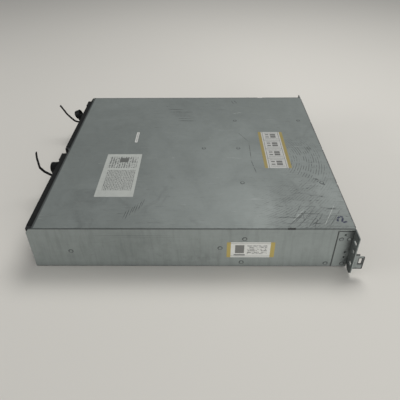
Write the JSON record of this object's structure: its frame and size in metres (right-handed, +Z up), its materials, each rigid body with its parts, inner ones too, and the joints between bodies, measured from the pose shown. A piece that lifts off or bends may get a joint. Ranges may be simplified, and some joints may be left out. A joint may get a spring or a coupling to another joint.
{
  "type": "storage array",
  "caption": "Flat 2U rack enclosure of galvanized steel: drive carriers with swing handles in front, plug-in controllers and power supplies with cord straps behind.",
  "frame": {"origin": "middle of the base's underside: centre of the side walls' width, and of the tray's length within a few millimetres", "axes": "+Z up from the base; +Y towards the rear with the power supplies; the drives face -Y; X across the rack"},
  "size_m": [0.4826, 0.5879, 0.1096],
  "materials": {
    "galvanized_steel": "satin",
    "circuit_board": "satin",
    "drive_metal": "matt",
    "handle_plastic": "matt",
    "module_housing": "matt",
    "black_plastic": "matt",
    "port_shells": "satin",
    "lever_plastic": "matt",
    "black_nylon": "satin"
  },
  "bodies": {
    "chassis": {"chassis_tray": "galvanized_steel", "top_cover": "galvanized_steel", "ear_left": "galvanized_steel", "ear_right": "galvanized_steel", "latch_tab_left": "galvanized_steel", "latch_tab_right": "galvanized_steel", "cage_dividers": "galvanized_steel", "side_runners": "galvanized_steel", "midplane_board": "circuit_board", "midplane_connectors": "circuit_board", "centre_divider": "galvanized_steel", "module_shelves": "galvanized_steel", "rivets": "galvanized_steel"},
    "drive_01": {"drive_01": "drive_metal"},
    "handle_01": {"handle_01": "handle_plastic"},
    "drive_02": {"drive_02": "drive_metal"},
    "handle_02": {"handle_02": "handle_plastic"},
    "drive_03": {"drive_03": "drive_metal"},
    "handle_03": {"handle_03": "handle_plastic"},
    "drive_04": {"drive_04": "drive_metal"},
    "handle_04": {"handle_04": "handle_plastic"},
    "drive_05": {"drive_05": "drive_metal"},
    "handle_05": {"handle_05": "handle_plastic"},
    "drive_06": {"drive_06": "drive_metal"},
    "handle_06": {"handle_06": "handle_plastic"},
    "drive_07": {"drive_07": "drive_metal"},
    "handle_07": {"handle_07": "handle_plastic"},
    "drive_08": {"drive_08": "drive_metal"},
    "handle_08": {"handle_08": "handle_plastic"},
    "drive_09": {"drive_09": "drive_metal"},
    "handle_09": {"handle_09": "handle_plastic"},
    "drive_10": {"drive_10": "drive_metal"},
    "handle_10": {"handle_10": "handle_plastic"},
    "drive_11": {"drive_11": "drive_metal"},
    "handle_11": {"handle_11": "handle_plastic"},
    "drive_12": {"drive_12": "drive_metal"},
    "handle_12": {"handle_12": "handle_plastic"},
    "psu_a": {"psu_a_case": "module_housing", "psu_a_bezel": "black_plastic", "psu_a_inlet": "black_plastic"},
    "psu_a_catch": {"psu_a_catch": "black_plastic"},
    "psu_a_fan": {"psu_a_fan": "black_plastic"},
    "psu_a_strap": {"psu_a_strap": "black_nylon"},
    "psu_a_clamp": {"psu_a_clamp": "black_nylon"},
    "controller_a": {"controller_a_case": "module_housing", "controller_a_ports": "port_shells"},
    "controller_a_lever_left": {"controller_a_lever_left": "lever_plastic"},
    "controller_a_lever_right": {"controller_a_lever_right": "lever_plastic"},
    "psu_b": {"psu_b_case": "module_housing", "psu_b_bezel": "black_plastic", "psu_b_inlet": "black_plastic"},
    "psu_b_catch": {"psu_b_catch": "black_plastic"},
    "psu_b_fan": {"psu_b_fan": "black_plastic"},
    "psu_b_strap": {"psu_b_strap": "black_nylon"},
    "psu_b_clamp": {"psu_b_clamp": "black_nylon"},
    "controller_b": {"controller_b_case": "module_housing", "controller_b_ports": "port_shells"},
    "controller_b_lever_left": {"controller_b_lever_left": "lever_plastic"},
    "controller_b_lever_right": {"controller_b_lever_right": "lever_plastic"}
  },
  "joints": [
    {"name": "drive_01_slide", "type": "slide", "parent": "chassis", "child": "drive_01", "axis": [0, -1, 0], "range_m": [0, 0.15]},
    {"name": "handle_01_hinge", "type": "hinge", "parent": "drive_01", "child": "handle_01", "pos_m": [-0.11785, -0.2518, 0.0138], "axis": [0, 0, 1], "range_deg": [0, 75]},
    {"name": "drive_02_slide", "type": "slide", "parent": "chassis", "child": "drive_02", "axis": [0, -1, 0], "range_m": [0, 0.15]},
    {"name": "handle_02_hinge", "type": "hinge", "parent": "drive_02", "child": "handle_02", "pos_m": [-0.00835, -0.2518, 0.0138], "axis": [0, 0, 1], "range_deg": [0, 75]},
    {"name": "drive_03_slide", "type": "slide", "parent": "chassis", "child": "drive_03", "axis": [0, -1, 0], "range_m": [0, 0.15]},
    {"name": "handle_03_hinge", "type": "hinge", "parent": "drive_03", "child": "handle_03", "pos_m": [0.10115, -0.2518, 0.0138], "axis": [0, 0, 1], "range_deg": [0, 75]},
    {"name": "drive_04_slide", "type": "slide", "parent": "chassis", "child": "drive_04", "axis": [0, -1, 0], "range_m": [0, 0.15]},
    {"name": "handle_04_hinge", "type": "hinge", "parent": "drive_04", "child": "handle_04", "pos_m": [0.21065, -0.2518, 0.0138], "axis": [0, 0, 1], "range_deg": [0, 75]},
    {"name": "drive_05_slide", "type": "slide", "parent": "chassis", "child": "drive_05", "axis": [0, -1, 0], "range_m": [0, 0.15]},
    {"name": "handle_05_hinge", "type": "hinge", "parent": "drive_05", "child": "handle_05", "pos_m": [-0.11785, -0.2518, 0.0411], "axis": [0, 0, 1], "range_deg": [0, 75]},
    {"name": "drive_06_slide", "type": "slide", "parent": "chassis", "child": "drive_06", "axis": [0, -1, 0], "range_m": [0, 0.15]},
    {"name": "handle_06_hinge", "type": "hinge", "parent": "drive_06", "child": "handle_06", "pos_m": [-0.00835, -0.2518, 0.0411], "axis": [0, 0, 1], "range_deg": [0, 75]},
    {"name": "drive_07_slide", "type": "slide", "parent": "chassis", "child": "drive_07", "axis": [0, -1, 0], "range_m": [0, 0.15]},
    {"name": "handle_07_hinge", "type": "hinge", "parent": "drive_07", "child": "handle_07", "pos_m": [0.10115, -0.2518, 0.0411], "axis": [0, 0, 1], "range_deg": [0, 75]},
    {"name": "drive_08_slide", "type": "slide", "parent": "chassis", "child": "drive_08", "axis": [0, -1, 0], "range_m": [0, 0.15]},
    {"name": "handle_08_hinge", "type": "hinge", "parent": "drive_08", "child": "handle_08", "pos_m": [0.21065, -0.2518, 0.0411], "axis": [0, 0, 1], "range_deg": [0, 75]},
    {"name": "drive_09_slide", "type": "slide", "parent": "chassis", "child": "drive_09", "axis": [0, -1, 0], "range_m": [0, 0.15]},
    {"name": "handle_09_hinge", "type": "hinge", "parent": "drive_09", "child": "handle_09", "pos_m": [-0.11785, -0.2518, 0.0684], "axis": [0, 0, 1], "range_deg": [0, 75]},
    {"name": "drive_10_slide", "type": "slide", "parent": "chassis", "child": "drive_10", "axis": [0, -1, 0], "range_m": [0, 0.15]},
    {"name": "handle_10_hinge", "type": "hinge", "parent": "drive_10", "child": "handle_10", "pos_m": [-0.00835, -0.2518, 0.0684], "axis": [0, 0, 1], "range_deg": [0, 75]},
    {"name": "drive_11_slide", "type": "slide", "parent": "chassis", "child": "drive_11", "axis": [0, -1, 0], "range_m": [0, 0.15]},
    {"name": "handle_11_hinge", "type": "hinge", "parent": "drive_11", "child": "handle_11", "pos_m": [0.10115, -0.2518, 0.0684], "axis": [0, 0, 1], "range_deg": [0, 75]},
    {"name": "drive_12_slide", "type": "slide", "parent": "chassis", "child": "drive_12", "axis": [0, -1, 0], "range_m": [0, 0.15]},
    {"name": "handle_12_hinge", "type": "hinge", "parent": "drive_12", "child": "handle_12", "pos_m": [0.21065, -0.2518, 0.0684], "axis": [0, 0, 1], "range_deg": [0, 75]},
    {"name": "psu_a_slide", "type": "slide", "parent": "chassis", "child": "psu_a", "axis": [0, 1, 0], "range_m": [0, 0.3]},
    {"name": "controller_a_slide", "type": "slide", "parent": "chassis", "child": "controller_a", "axis": [0, 1, 0], "range_m": [0, 0.3]},
    {"name": "psu_a_catch_hinge", "type": "hinge", "parent": "psu_a", "child": "psu_a_catch", "pos_m": [-0.0238, 0.2575, 0.075], "axis": [-1, 0, 0], "range_deg": [0, 8], "stiffness_Nm_per_rad": 0.2, "springref_deg": -11.46},
    {"name": "psu_a_fan_spin", "type": "hinge", "parent": "psu_a", "child": "psu_a_fan", "pos_m": [-0.18975, 0.2322, 0.0644], "axis": [0, 1, 0], "continuous": true},
    {"name": "psu_a_strap_hinge", "type": "hinge", "parent": "psu_a", "child": "psu_a_strap", "pos_m": [-0.047, 0.255, 0.0545], "axis": [-1, 0, 0], "range_deg": [0, 30]},
    {"name": "psu_a_clamp_slide", "type": "slide", "parent": "psu_a_strap", "child": "psu_a_clamp", "axis": [0, 1, 0], "range_m": [0, 0.003]},
    {"name": "controller_a_lever_left_hinge", "type": "hinge", "parent": "controller_a", "child": "controller_a_lever_left", "pos_m": [-0.21415, 0.2497, 0.0135], "axis": [0, 0, 1], "range_deg": [0, 80]},
    {"name": "controller_a_lever_right_hinge", "type": "hinge", "parent": "controller_a", "child": "controller_a_lever_right", "pos_m": [-0.0075, 0.2497, 0.0135], "axis": [0, 0, -1], "range_deg": [0, 80]},
    {"name": "psu_b_slide", "type": "slide", "parent": "chassis", "child": "psu_b", "axis": [0, 1, 0], "range_m": [0, 0.3]},
    {"name": "controller_b_slide", "type": "slide", "parent": "chassis", "child": "controller_b", "axis": [0, 1, 0], "range_m": [0, 0.3]},
    {"name": "psu_b_catch_hinge", "type": "hinge", "parent": "psu_b", "child": "psu_b_catch", "pos_m": [0.19785, 0.2575, 0.075], "axis": [-1, 0, 0], "range_deg": [0, 8], "stiffness_Nm_per_rad": 0.2, "springref_deg": -11.46},
    {"name": "psu_b_fan_spin", "type": "hinge", "parent": "psu_b", "child": "psu_b_fan", "pos_m": [0.0319, 0.2322, 0.0644], "axis": [0, 1, 0], "continuous": true},
    {"name": "psu_b_strap_hinge", "type": "hinge", "parent": "psu_b", "child": "psu_b_strap", "pos_m": [0.17465, 0.255, 0.0545], "axis": [-1, 0, 0], "range_deg": [-24, 26]},
    {"name": "psu_b_clamp_slide", "type": "slide", "parent": "psu_b_strap", "child": "psu_b_clamp", "axis": [0, 0.9135, -0.4067], "range_m": [-0.002, 0.0015]},
    {"name": "controller_b_lever_left_hinge", "type": "hinge", "parent": "controller_b", "child": "controller_b_lever_left", "pos_m": [0.0075, 0.2497, 0.0135], "axis": [0, 0, 1], "range_deg": [0, 80]},
    {"name": "controller_b_lever_right_hinge", "type": "hinge", "parent": "controller_b", "child": "controller_b_lever_right", "pos_m": [0.21415, 0.2497, 0.0135], "axis": [0, 0, -1], "range_deg": [0, 80]}
  ]
}
